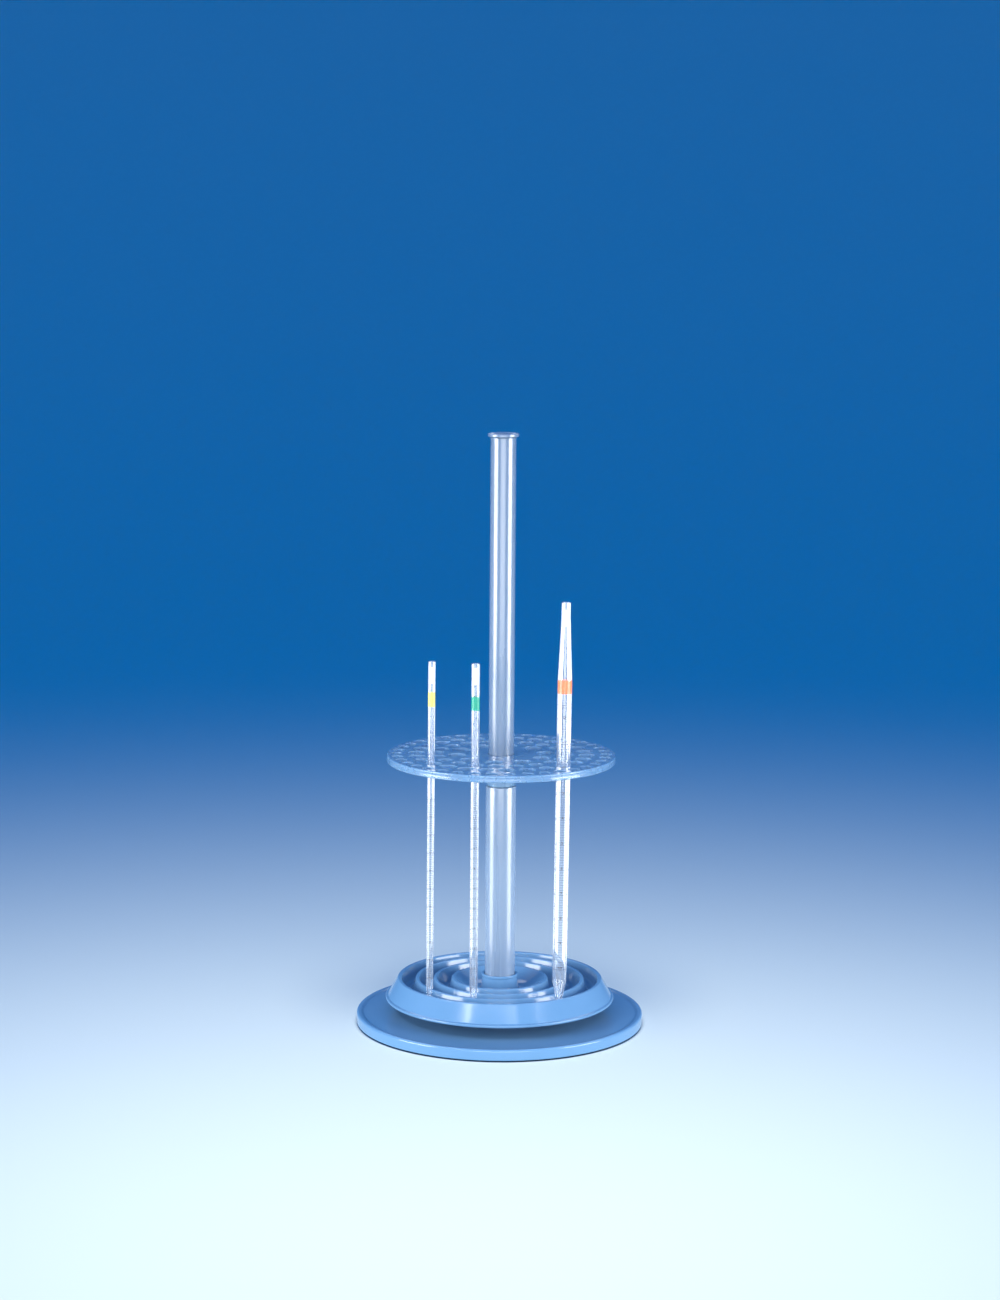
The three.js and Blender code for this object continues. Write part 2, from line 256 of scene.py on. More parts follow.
def pipette_glass():
    n = Nodes("pipette_glass")
    n.link(n.between(n.noise(60, 2, (1, 1, 0.05)), 0.01, 0.03), n.shader.inputs["Roughness"])
    n.set(Base_Color=(0.97, 0.99, 1.0, 1), IOR=GLASS_INDEX, Transmission_Weight=0.965)
    n.bump(n.noise(70, 2, (1, 1, 0.04)), 0.002, 0.0001)
    return n.material


def enamel(name, colour, opacity):
    """Fired-on ink: a thin film whose cover varies a little."""
    n = Nodes(name)
    dark = tuple(c * 0.82 for c in colour)
    n.link(n.ramp(n.noise(260, 4), [(0.35, dark), (0.65, colour)]), n.shader.inputs["Base Color"])
    n.link(n.between(n.noise(500, 2), 0.18, 0.34), n.shader.inputs["Roughness"])
    n.set(IOR=1.5, Alpha=opacity)
    n.bump(n.noise(900, 3), 0.1, 0.00005)
    return n.material


def cotton():
    n = Nodes("cotton")
    n.link(n.ramp(n.noise(900, 6), [(0.3, (0.80, 0.80, 0.79)), (0.7, (0.95, 0.95, 0.94))]),
           n.shader.inputs["Base Color"])
    n.set(Roughness=0.95, Sheen_Weight=0.5, Subsurface_Weight=0.4, Subsurface_Scale=0.002,
          Subsurface_Radius=(1.0, 1.0, 1.0))
    n.bump(n.noise(1400, 6), 0.6, 0.0004)
    return n.material


def rubber():
    n = Nodes("foot_rubber")
    n.link(n.ramp(n.noise(200, 4), [(0.3, (0.035, 0.038, 0.042)), (0.7, (0.055, 0.058, 0.064))]),
           n.shader.inputs["Base Color"])
    n.link(n.between(n.noise(500, 3), 0.65, 0.85), n.shader.inputs["Roughness"])
    n.bump(n.noise(1500, 3), 0.25, 0.0002)
    return n.material


def acetal():
    n = Nodes("acetal")
    n.link(n.ramp(n.noise(60, 3), [(0.3, (0.80, 0.79, 0.74)), (0.7, (0.86, 0.85, 0.81))]),
           n.shader.inputs["Base Color"])
    n.link(n.between(n.noise(300, 3), 0.35, 0.5), n.shader.inputs["Roughness"])
    n.set(Subsurface_Weight=0.2, Subsurface_Scale=0.002)
    n.bump(n.noise(700, 2), 0.1, 0.0001)
    return n.material


def stainless():
    """Turned stainless steel: fine rings round the axis."""
    n = Nodes("stainless_steel")
    n.link(n.ramp(n.noise(120, 4), [(0.3, (0.50, 0.50, 0.51)), (0.7, (0.62, 0.62, 0.63))]),
           n.shader.inputs["Base Color"])
    n.link(n.between(n.noise(900, 3, (1, 1, 6)), 0.22, 0.38), n.shader.inputs["Roughness"])
    n.set(Metallic=1.0)
    n.bump(n.noise(1500, 2, (1, 1, 5)), 0.12, 0.0001)
    return n.material


BLUE = blue_polypropylene()
TUBE = frosted_polypropylene("frosted_tube", (0.165, 0.23, 0.325), (0.14, 0.205, 0.295), 0.06,
                             (1, 1, 0.08))
DISC = frosted_polypropylene("frosted_disc", (0.27, 0.47, 0.68), (0.17, 0.35, 0.58), 0.45,
                             (1, 1, 1))
GLASS = pipette_glass()
PRINT = enamel("graduation_enamel", (0.06, 0.045, 0.05), 1.0)
COTTON = cotton()
RUBBER = rubber()
ACETAL = acetal()
STEEL = stainless()

# ------------------------------------------------------------------ base
BASE = "stand_base"
TURNTABLE = "turntable"


def base_outline():
    edge, bottom, _ = span("base_plate")
    _, _, foot_top = span("rubber_foot_1")
    _, glide_bottom, _ = span("glide_ring")
    underside = foot_top + CLEARANCE
    seat = glide_bottom - CLEARANCE
    rim = 9.4
    skirt = edge - 2.4
    rib, rib_bottom = 60, 3
    bore = 6.5
    groove_inner, groove_outer = 23, 33
    slope_end = 86.9
    return [
        (bore, underside, 0.4), (rib - 1.6, underside, 1), (rib - 1.1, rib_bottom, 0.8),
        (rib + 1.1, rib_bottom, 0.8), (rib + 1.6, underside, 1), (skirt - 0.7, underside, 1.2),
        (skirt, bottom, 0.4), (edge, bottom, 1.0), (edge, rim, 2.1), (edge - 3.6, rim - 0.2, 1.8),
        (edge - 5.4, rim - 1.1, 2.5), (slope_end, rim - 0.3, 20), (groove_outer, seat + 1, 0.4),
        (groove_outer, seat, 0.3), (groove_inner, seat, 0.3), (groove_inner, seat + 1.2, 0.5),
        (bore, seat + 1.2, 0.4),
    ]


finish_piece(lathe("base_moulding", base_outline(), FINE), BLUE, BASE, "blue_polypropylene",
             "base_plate")


def rubber_foot(index):
    node = f"rubber_foot_{index}"
    low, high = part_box(node)
    centre = (low + high) / 2 / MM
    radius, top = (high.x - low.x) / 2 / MM, high.z / MM
    dimple, dimple_depth = 2.2, 0.25
    foot = lathe(f"foot_pad_{index}", [
        (0, dimple_depth), (dimple, dimple_depth, 0.4), (dimple + 0.4, 0, 0.3), (radius, 0, 0.9),
        (radius - 0.4, top, 0.5), (0, top),
    ], SMALL)
    foot.location = (centre.x * MM, centre.y * MM, 0)
    finish_piece(foot, RUBBER, BASE, "foot_rubber", node)


for number in range(1, 5):
    rubber_foot(number)


def ring_piece(name, node, inner, material, body, slot, edge=0.3):
    """A plain ring of the CAD node's size with softened edges."""
    outer, bottom, top = span(node)
    outline = [(inner, bottom, edge), (outer, bottom, edge), (outer, top, edge), (inner, top, edge)]
    return finish_piece(lathe(name, outline, ROUND), material, body, slot, node)


ring_piece("glide_ring_fine", "glide_ring", 24, ACETAL, BASE, "acetal", 0.6)
ring_piece("bolt_washer", "pivot_washer", BOLT_HOLE, STEEL, BASE, "steel", 0.2)
ring_piece("nut_washer", "lock_washer", BOLT_HOLE, STEEL, TURNTABLE, "steel", 0.2)


def bush_outline():
    outer, bottom, top = span("pivot_bush")
    sleeve, flange = 6.2, 1.2
    return [(BOLT_HOLE, bottom, 0.3), (sleeve, bottom, 0.3), (sleeve, top - flange, 0.3),
            (outer, top - flange, 0.2), (outer, top, 0.3), (BOLT_HOLE, top, 0.4)]


finish_piece(lathe("bush", bush_outline(), SMALL), ACETAL, BASE, "acetal", "pivot_bush")


# ------------------------------------------------------------------ tray
TROUGH_FLOOR = 24             # heights
FUNNEL_FLOOR = 25.6
RIDGES = (62.6, 48.9, 35.2)   # radii, from the outside in
BOSS = 13.9


def ridge(radius, top, inner_side):
    """One rounded ridge, from the trough outside it to the one inside it if there is one."""
    foot, crest = 4.4, 1.25
    outline = [(radius + foot, TROUGH_FLOOR, 3), (radius + crest, top, 1.1),
               (radius - crest, top, 1.1)]
    if inner_side:
        outline.append((radius - foot, TROUGH_FLOOR, 3))
    return outline


def tray_outline():
    flange, _, boss_top = span("tray")
    rim, rim_top, flange_bottom, ridge_top = 76.1, 35.0, 19.2, 34.8
    _, _, bush_top = span("pivot_bush")
    _, _, glide_top = span("glide_ring")
    hub_bottom, skirt_bottom = bush_top + CLEARANCE, glide_top + CLEARANCE
    bore, socket, socket_floor = BOLT_HOLE, 11.8, 25.7
    floor, under, ceiling = TROUGH_FLOOR, TROUGH_FLOOR - 2.4, 21
    hub, skirt_inner, skirt_outer = 9.5, 24.8, 31.2
    outer, middle, inner = RIDGES
    return [
        (bore, hub_bottom, 0.3), (hub, hub_bottom, 0.5), (hub + 0.5, ceiling, 1.5),
        (skirt_inner - 0.4, ceiling, 1.5), (skirt_inner, skirt_bottom, 0.4),
        (skirt_outer, skirt_bottom, 0.4), (skirt_outer + 0.4, under, 1),
        (rim - 0.6, under, 1.5), (rim + 0.1, rim_top - 4, 0.8), (flange - 3, flange_bottom, 0.5),
        (flange, flange_bottom, 0.8), (flange, flange_bottom + 2.0, 0.9),
        (flange - 2.0, flange_bottom + 2.5, 0.8), (rim + 1.4, rim_top, 1.25),
        (rim - 1.4, rim_top, 1.25), (rim - 3.4, floor, 4.5),
        *ridge(outer, ridge_top, True), *ridge(middle, ridge_top, True),
        *ridge(inner, ridge_top, False),
        (21.5, FUNNEL_FLOOR + 0.9, 14), (BOSS + 0.5, FUNNEL_FLOOR, 1.6),
        (BOSS - 0.5, boss_top - 2.9, 0.25), (BOSS - 0.5, boss_top - 2.1, 0.2),
        (BOSS, boss_top - 1.9, 0.25), (BOSS, boss_top, 0.7), (socket, boss_top, 0.5),
        (socket, socket_floor, 0.2), (bore, socket_floor, 0.3),
    ]


finish_piece(lathe("tray_moulding", tray_outline(), FINE), BLUE, TURNTABLE, "blue_polypropylene",
             "tray")


# ------------------------------------------------------------------ pivot bolt and nut
HEX_SIDES = 48         # vertices round a bolt or nut, a multiple of six
HEX_FLAT = 6.5         # from the axis to a flat of the bolt's head and of the nut
HEX_CORNER = 7.5       # from the axis to a corner


def add_ring(vertices, reach, height):
    """Adds a ring of vertices. Its distance from the axis is a function of the angle."""
    for j in range(HEX_SIDES):
        a = 2 * math.pi * j / HEX_SIDES
        r = reach(a) * MM
        vertices.append((r * math.cos(a), r * math.sin(a), height * MM))


def hex_rings(rings):
    """Vertices of hexagonal rings from (flat distance, height, corner distance) values; a corner
    distance below the hexagon's own cuts its corners round."""
    vertices = []
    for flat, height, corner in rings:
        def reach(a):
            off_flat = (a + math.pi / 6) % (math.pi / 3) - math.pi / 6
            return min(flat / math.cos(off_flat), corner)
        add_ring(vertices, reach, height)
    return vertices


def ring_faces(first, last):
    """Faces that join ring to ring, from the first ring's number to the last one's."""
    faces = []
    for r in range(first, last):
        for j in range(HEX_SIDES):
            k = (j + 1) % HEX_SIDES
            lower, upper = r * HEX_SIDES, (r + 1) * HEX_SIDES
            faces.append([lower + j, lower + k, upper + k, upper + j])
    return faces


def pivot_bolt():
    _, bottom, top = span("pivot_bolt")
    head_top, shank = bottom + 3.4, 4.0
    head = [(HEX_FLAT, bottom, 5.4), (HEX_FLAT, bottom + 0.25, 6.2),
            (HEX_FLAT, bottom + 0.7, HEX_CORNER), (HEX_FLAT, head_top - 0.5, HEX_CORNER),
            (HEX_FLAT, head_top, 7.0)]
    vertices = hex_rings(head)
    thread, pitch, depth, thread_start = 9.4, 1.25, 0.55, top - 10.2
    shaft = [(shank + 0.4, head_top), (shank, head_top + 0.4), (shank, thread_start - 0.2)]
    for i in range(int(thread / pitch)):
        low = thread_start + i * pitch
        shaft += [(shank, low + 0.1), (shank - depth, low + 0.5 * pitch),
                  (shank, low + pitch - 0.1)]
    shaft.append((shank - 0.7, top))
    for radius, height in shaft:
        add_ring(vertices, lambda a: radius, height)
    levels = len(head) + len(shaft)
    faces = ring_faces(0, levels - 1)
    faces.append(list(range(HEX_SIDES))[::-1])
    faces.append(list(range((levels - 1) * HEX_SIDES, levels * HEX_SIDES)))
    return new_object("bolt", vertices, faces)


def pivot_nut():
    _, bottom, top = span("pivot_nut")
    bore, rounding, bevel = 4.35, 6.4, 0.4
    rings = [(HEX_FLAT, bottom, rounding), (HEX_FLAT, bottom + 0.6, HEX_CORNER),
             (HEX_FLAT, top - 0.6, HEX_CORNER), (HEX_FLAT, top, rounding),
             (bore + bevel, top, bore + bevel), (bore, top - bevel, bore),
             (bore, bottom + bevel, bore), (bore + bevel, bottom, bore + bevel)]
    last = len(rings) - 1
    faces = ring_faces(0, last)
    for j in range(HEX_SIDES):
        k = (j + 1) % HEX_SIDES
        faces.append([last * HEX_SIDES + j, last * HEX_SIDES + k, k, j])
    return new_object("nut", hex_rings(rings), faces)


finish_piece(pivot_bolt(), STEEL, TURNTABLE, "steel", "pivot_bolt")
finish_piece(pivot_nut(), STEEL, TURNTABLE, "steel", "pivot_nut")


# ------------------------------------------------------------------ post
def post_tube(name, node, wall):
    outer, bottom, top = span(node)
    inner = outer - wall
    outline = [(inner, bottom, 0.3), (outer, bottom, 0.5), (outer, top, 0.5), (inner, top, 0.3)]
    return finish_piece(lathe(name, outline, ROUND), TUBE, TURNTABLE, "frosted_polypropylene", node)


post_tube("post_lower", "lower_tube", 1.6)
post_tube("post_upper", "upper_tube", 1.5)


def cap_outline():
    edge, plug_bottom, top = span("top_cap")
    outer, _, _ = span("upper_tube")
    plug = outer - 1.8
    under = top - 2.5
    return [
        (0, under), (plug - 1.4, under, 0.4), (plug - 1.6, plug_bottom, 0.3),
        (plug - 0.2, plug_bottom, 0.5), (plug, under, 0.3), (edge, under, 0.7), (edge, top, 0.8),
        (edge - 1.5, top, 0.5), (edge - 2.0, top - 0.6, 0.5), (0, top - 0.6),
    ]


finish_piece(lathe("cap_moulding", cap_outline(), ROUND), TUBE, TURNTABLE, "frosted_polypropylene",
             "top_cap")

# ------------------------------------------------------------------ perforated disc
# Rings of holes: ring radius, number of holes, hole radius, angle of the first hole in degrees.
HOLE_RINGS = ((34, 10, 7.0, 9.0), (49, 20, 5.9, -4.6), (64, 26, 6.25, -3.2), (79, 38, 4.4, 0.0))
HOLE_EDGE = 0.45
HOLE_SIDES = 40


def circle(x, y, radius, sides):
    return [(x + radius * math.cos(2 * math.pi * j / sides),
             y + radius * math.sin(2 * math.pi * j / sides)) for j in range(sides)]


def plate_face(rings, holes, inner_radius, up):
    """Triangles of a flat face between rings of vertices. Each ring is (vertex numbers, points),
    and no triangle is kept inside the inner radius or a hole."""
    numbers, points, edges = [], [], []
    for ring, places in rings:
        first = len(points)
        numbers += ring
        points += [Vector(p) for p in places]
        edges += [(first + j, first + (j + 1) % len(ring)) for j in range(len(ring))]
    _, _, triangles, *_ = delaunay_2d_cdt(points, edges, [], 0, 1e-7)
    faces = []
    for triangle in triangles:
        centre = sum((points[i] for i in triangle), Vector((0, 0))) / 3
        if centre.length < inner_radius:
            continue
        if any((centre - Vector((x, y))).length < r for x, y, r in holes):
            continue
        face = [numbers[i] for i in triangle]
        faces.append(face if up else face[::-1])
    return faces


def perforated_disc():
    edge, spigot_bottom, top = span("perforated_disc")
    tube_outer, _, tube_top = span("lower_tube")
    upper_outer, socket_floor, _ = span("upper_tube")
    under = top - 5.2
    neck, neck_bottom = 10.75, tube_top + CLEARANCE
    spigot = tube_outer - 1.9
    bore = spigot - 2
    socket = upper_outer + CLEARANCE
    seat = socket_floor - CLEARANCE
    rim_reach, mouth_reach, hub_reach = edge - 1.3, socket + 0.9, 20
    # The inner edges are polygons, so triangles are kept from a little inside their radii.
    top_start, under_start = mouth_reach - 0.02, hub_reach - 0.1
    vertices = []

    def ring(x, y, radius, height, sides):
        numbers = list(range(len(vertices), len(vertices) + sides))
        places = circle(x, y, radius, sides)
        vertices.extend((px * MM, py * MM, height * MM) for px, py in places)
        return numbers, places

    faces = []

    def wall(path, x, y, sides):
        """Rings down a path of (radius, height), and the first and last of them."""
        rings = [ring(x, y, p.x, p.y, sides) for p in path]
        for (upper, _), (lower, _) in zip(rings, rings[1:]):
            for j in range(sides):
                k = (j + 1) % sides
                faces.append([upper[j], lower[j], lower[k], upper[k]])
        return rings[0], rings[-1]

    rim_path = rounded([
        (rim_reach, top), (edge - 0.5, top, 0.4), (edge, top - 0.6, 0.4), (edge, top - 1.3, 0.2),
        (edge - 0.35, top - 1.7, 0.3), (edge - 0.35, under + 1.5, 0.3), (edge, under + 1.1, 0.2),
        (edge, under + 0.5, 0.3), (edge - 0.6, under, 0.4), (rim_reach, under),
    ], False)
    hub_path = rounded([
        (mouth_reach, top), (socket, top, 0.6), (socket, seat, 0.3), (bore, seat, 0.3),
        (bore, spigot_bottom, 0.3), (spigot, spigot_bottom, 0.8), (spigot, neck_bottom, 0.2),
        (neck, neck_bottom, 0.5), (neck, 188.4, 3), (12.6, 193.5, 6), (14.4, under, 2.5),
        (hub_reach, under),
    ], False)
    tops, bottoms = [], []
    for path, sides in ((rim_path, FINE), (hub_path[::-1], ROUND)):
        first, last = wall(path, 0, 0, sides)
        upper, lower = (first, last) if path is rim_path else (last, first)
        tops.append(upper)
        bottoms.append(lower)
    holes = []
    for ring_radius, count, radius, start in HOLE_RINGS:
        for i in range(count):
            a = math.radians(start + 360 * i / count)
            x, y = ring_radius * math.cos(a), ring_radius * math.sin(a)
            path = rounded([
                (radius + HOLE_EDGE, top), (radius, top, HOLE_EDGE), (radius, under, HOLE_EDGE),
                (radius + HOLE_EDGE, under),
            ], False)
            last, first = wall(path[::-1], x, y, HOLE_SIDES)
            tops.append(first)
            bottoms.append(last)
            holes.append((x, y, radius + HOLE_EDGE * 0.98))
    faces += plate_face(tops, holes, top_start, True)
    faces += plate_face(bottoms, holes, under_start, False)
    return new_object("disc_moulding", vertices, faces, 28)


finish_piece(perforated_disc(), DISC, TURNTABLE, "frosted_polypropylene", "perforated_disc")

# ------------------------------------------------------------------ pipettes
# Lengths are along the glass from its tip. Marks: first mark, last mark and number of steps
# between them; numbers says what each main mark is labelled with.
PIPETTES = {
    "yellow": dict(
        bore=1.54, tip_bore=0.4, taper=15, band=(226.1, 236.8), plug=(243.2, 255.6),
        colour=(0.95, 0.88, 0.18), first=156.4, last=20.5, steps=10, digits=1.5,
        numbers={i: f".{i}" if i < 10 else "1" for i in range(1, 11)}, minor=10,
    ),
    "green": dict(
        bore=2.05, tip_bore=0.5, taper=15, band=(224.8, 234.8), plug=(243.6, 256.2),
        colour=(0.0, 0.42, 0.26), first=166.3, last=15.0, steps=20, digits=1.7,
        numbers={i: f"{i / 10:g}".replace("0.", ".") for i in range(2, 21, 2)}, minor=5,
    ),
    "orange": dict(
        bore=4.1, tip_bore=0.8, taper=21.1, band=(237.4, 247.4), plug=(287.4, 298.8),
        colour=(1.0, 0.28, 0.10), first=218.9, last=30.6, steps=10, digits=2.9,
        numbers={i: str(i) for i in range(0, 11)}, minor=10,
        neck=3.3, neck_bore=2.2, neck_start=293.3, shoulder=247.5, tip_end=(2.1, 6.7),
        extra=(229.2, 226.7),
    ),
}
PRINT_GAP = 0.015    # between the glass and what is printed on it
PRINT_DEPTH = 0.045
PRINT_LINE = 0.22    # width of the lines at the main marks
PRINT_THIN = 0.15    # width of the lines between them
LONG_ARC, SHORT_ARC = 0.62, 0.34   # how far round the glass those lines go
NUMBER_LIFT = 0.04   # keeps the numbers clear of the lines beneath them
FRONT = -math.pi / 2


def measure(colour):
    """Where a pipette's CAD glass stands: its tip, its axis, its length and its radii."""
    joint = next(j for j in frame["joints"] if j["name"] == f"{colour}_pipette_lift")
    axis = Vector(joint["axis"]).normalized()
    points = [v.co for v in frame["nodes"][f"{colour}_pipette_glass"].data.vertices]
    along = [p.dot(axis) for p in points]
    low, high = min(along), max(along)
    ends = [p for p, t in zip(points, along) if t < low + 0.0001]
    tip = sum(ends, Vector()) / len(ends)
    reach = [((p - tip) - axis * (p - tip).dot(axis)).length / MM for p in points]
    tip_radius = max(r for r, t in zip(reach, along) if t < low + 0.0001)
    turn = Vector((0, 0, 1)).rotation_difference(axis).to_matrix().to_4x4()
    return Matrix.Translation(tip) @ turn, (high - low) / MM, max(reach), tip_radius


def glass_outline(p, length, radius, tip_radius):
    outside = [(p["tip_bore"], 0, 0.25), (tip_radius, 0, 0.45)]
    if "neck" in p:
        outside += [(*p["tip_end"], 3), (radius, p["taper"], 6), (radius, p["shoulder"], 25),
                    (p["neck"], p["neck_start"], 12), (p["neck"], length, 0.5)]
        inside = [(p["neck_bore"], length, 0.4), (p["neck_bore"], p["neck_start"], 12),
                  (p["bore"], p["shoulder"], 25), (p["bore"], p["taper"] + 1, 6),
                  (p["tip_bore"] + 0.15, p["tip_end"][1], 3)]
    else:
        outside += [(radius, p["taper"], 6), (radius, length, 0.5)]
        inside = [(p["bore"], length, 0.4), (p["bore"], p["taper"] + 1, 6)]
    return outside + inside


def curved_patch(radius, low, high, start, end, steps):
    """A thin closed patch wrapped round the pipette's axis; a full turn closes on itself."""
    inner, outer = radius + PRINT_GAP, radius + PRINT_GAP + PRINT_DEPTH
    whole = abs(end - start) > 2 * math.pi - 1e-6
    vertices, faces = [], []
    columns = steps if whole else steps + 1
    for j in range(columns):
        a = start + (end - start) * j / steps
        for r, z in ((inner, low), (outer, low), (outer, high), (inner, high)):
            vertices.append((r * MM * math.cos(a), r * MM * math.sin(a), z * MM))
    for j in range(steps):
        k = (j + 1) % columns
        for c in range(4):
            d = (c + 1) % 4
            faces.append([4 * j + c, 4 * k + c, 4 * k + d, 4 * j + d])
    if not whole:
        faces.append([0, 1, 2, 3])
        faces.append([4 * (columns - 1) + c for c in (3, 2, 1, 0)])
    return vertices, faces


def joined(parts):
    vertices, faces = [], []
    for some, more in parts:
        first = len(vertices)
        vertices += some
        faces += [[first + i for i in face] for face in more]
    return vertices, faces


def number_patch(text, size, radius, height):
    """A printed number, centred on the front of the glass and wrapped round it."""
    curve = bpy.data.curves.new("number", "FONT")
    curve.body = text
    curve.size = size
    curve.extrude = PRINT_DEPTH / 2
    curve.resolution_u = 3
    curve.align_x = "CENTER"
    holder = bpy.data.objects.new("number", curve)
    bpy.context.scene.collection.objects.link(holder)
    mesh = holder.to_mesh()
    vertices = []
    for v in mesh.vertices:
        a = FRONT + v.co.x / radius
        r = radius + PRINT_GAP + NUMBER_LIFT + PRINT_DEPTH / 2 + v.co.z
        vertices.append((r * MM * math.cos(a), r * MM * math.sin(a), (height + v.co.y) * MM))
    faces = [list(p.vertices) for p in mesh.polygons]
    holder.to_mesh_clear()
    bpy.data.objects.remove(holder)
    bpy.data.curves.remove(curve)
    return vertices, faces


def graduations(p, radius):
    """Full rings at the main marks, shorter arcs between them, and the numbers."""
    parts = []
    step = (p["last"] - p["first"]) / p["steps"]

    def arc(height, share, line=PRINT_LINE):
        half = math.pi * share
        steps = max(4, int(40 * share))
        parts.append(curved_patch(radius, height - line / 2, height + line / 2,
                                  FRONT - half, FRONT + half, steps))

    for i in range(p["steps"] + 1):
        height = p["first"] + i * step
        arc(height, 1.0)
        if i in p["numbers"]:
            parts.append(number_patch(p["numbers"][i], p["digits"], radius, height + 0.5))
        if i < p["steps"]:
            for m in range(1, p["minor"]):
                middle = 2 * m == p["minor"]
                share = LONG_ARC if middle else SHORT_ARC
                arc(height + step * m / p["minor"], share, PRINT_THIN)
    for height in p.get("extra", ()):
        arc(height, 1.0)
    return joined(parts)


def strand(radius, start, twist, low, rise, top):
    """One loose fibre as a thin three-sided tube that winds up round the plug."""
    steps, sides, thickness = 8, 3, 0.035
    vertices, faces = [], []
    for i in range(steps + 1):
        t = i / steps
        a = start + twist * t
        r = radius * (0.965 + 0.035 * math.sin(math.pi * t))
        place = Vector((r * math.cos(a), r * math.sin(a), min(low + rise * t, top)))
        out = Vector((place.x, place.y, 0)).normalized()
        side = Vector((-out.y, out.x, 0))
        for c in range(sides):
            b = 2 * math.pi * c / sides
            at = place + (out * math.cos(b) + side * math.sin(b)) * thickness
            vertices.append(tuple(at * MM))
    for i in range(steps):
        for c in range(sides):
            d = (c + 1) % sides
            lower, upper = sides * i, sides * (i + 1)
            faces.append([lower + c, lower + d, upper + d, upper + c])
    last = sides * steps
    return vertices, faces + [[2, 1, 0], [last, last + 1, last + 2]]


def cotton_plug(name, p, radius):
    """A rolled wad of fibres: a lumpy core with loose strands along it."""
    bottom, top = p["plug"]
    end, shoulder, core_steps, strands = 0.7 * radius, 1.2, 9, 46
    source = random.Random(name)
    length = top - bottom - 2 * shoulder
    core = [(radius * source.uniform(0.9, 1.0), bottom + shoulder + length * t / core_steps, 0.4)
            for t in range(1, core_steps)]
    vertices, faces = revolved([
        (0, bottom), (end, bottom, 0.3), (radius, bottom + shoulder, 0.8), *core,
        (radius, top - shoulder, 0.8), (end, top, 0.3), (0, top),
    ], SMALL)
    lumpy = []
    depth, folds, fold_rate, swell_rate = 0.05, 3, 2600, 900   # the rates are per metre
    for x, y, z in vertices:
        turn = math.atan2(y, x)
        fold, swell = math.sin(folds * turn + z * fold_rate), math.sin(z * swell_rate)
        squeeze = 1 - depth * (1 + fold) * (0.5 + 0.5 * swell)
        lumpy.append((x * squeeze, y * squeeze, z))
    parts = [(lumpy, faces)]
    for _ in range(strands):
        start = source.uniform(0, 2 * math.pi)
        low = source.uniform(bottom + 0.3, top - 2.5)
        rise, twist = source.uniform(1.5, 4.5), source.uniform(-1.2, 1.2)
        parts.append(strand(radius, start, twist, low, rise, top))
    return new_object(name, *joined(parts), sharp=60)


for colour, facts in PIPETTES.items():
    stance, length, radius, tip_radius = measure(colour)
    body = f"{colour}_pipette"
    tube = lathe(f"{colour}_tube", glass_outline(facts, length, radius, tip_radius), SMALL)
    band = new_object(f"{colour}_band", *curved_patch(
        radius, *facts["band"], FRONT, FRONT + 2 * math.pi, SMALL))
    scale = new_object(f"{colour}_scale", *graduations(facts, radius))
    wad = cotton_plug(f"{colour}_wad", facts, facts.get("neck_bore", facts["bore"]) - 0.12)
    for piece in (tube, band, scale, wad):
        piece.matrix_world = stance
    tube.visible_shadow = tube.visible_diffuse = False
    finish_piece(tube, GLASS, body, "pipette_glass", f"{colour}_pipette_glass")
    finish_piece(band, enamel(f"{colour}_enamel", facts["colour"], 0.55), body, "pipette_glass")
    finish_piece(scale, PRINT, body, "pipette_glass")
    finish_piece(wad, COTTON, body, "cotton", f"{colour}_pipette_plug")


# ------------------------------------------------------------------ floor, light and camera
def plain_material(name, colour, roughness):
    n = Nodes(name)
    n.set(Base_Color=(*colour, 1), Roughness=roughness, Specular_IOR_Level=0.0)
    return n.material


def stage_floor():
    """A pale round floor that curves up far away, all round, into a wall."""
    radius, curve, height, thickness, sides = 3600, 1500, 3200, 30, 128
    outside = radius + 200
    floor = lathe("floor", [(0, -thickness), (outside, -thickness), (outside, height),
                            (radius, height), (radius, 0, curve), (0, 0)], sides)
    floor.data.materials.append(plain_material("floor_paper", (0.75, 0.75, 0.75), 0.9))


def receivers(name, pieces):
    """A collection of the only pieces that a light falls on."""
    group = bpy.data.collections.new(name)
    for piece in pieces:
        group.objects.link(bpy.data.objects[piece])
    return group


def soft_box(name, place, aim, size, radiance, spread=180, only=None, colour=(1, 1, 1)):
    """A soft box at a place, aimed at a point. Its power follows from its size and from how bright
    its face is to be from straight ahead, which a narrower spread would raise."""
    light = bpy.data.lights.new(name, "AREA")
    light.shape = "RECTANGLE"
    light.size, light.size_y = size
    half = math.radians(spread) / 2
    on_axis = math.tan(half) / (math.tan(half) - half) if spread < 180 else 1
    light.energy = radiance * math.pi * size[0] * size[1] / on_axis
    light.spread = 2 * half
    light.color = colour
    box = bpy.data.objects.new(name, light)
    box.location = place
    box.rotation_euler = (Vector(aim) - Vector(place)).to_track_quat("-Z", "Y").to_euler()
    box.visible_camera = False
    box.light_linking.receiver_collection = only
    bpy.context.scene.collection.objects.link(box)


def around(azimuth, distance, height):
    """A place round the stand. Azimuth 0 is in front."""
    turn = math.radians(azimuth)
    return Vector((distance * math.sin(turn), -distance * math.cos(turn), height))


EYE_X, EYE_Y = -0.0015, -2.15   # where the camera stands, seen from above


def turn_in_glass(share, bore, radius):
    """The angle by which a level ray turns in a glass tube that it meets at this share of its
    radius beside the middle, and so through the bore."""
    at_bore = share * radius / bore
    enter, inside = math.asin(share), math.asin(share / GLASS_INDEX)
    arrive, leave = math.asin(at_bore / GLASS_INDEX), math.asin(at_bore)
    return 2 * ((leave - arrive) - (enter - inside))


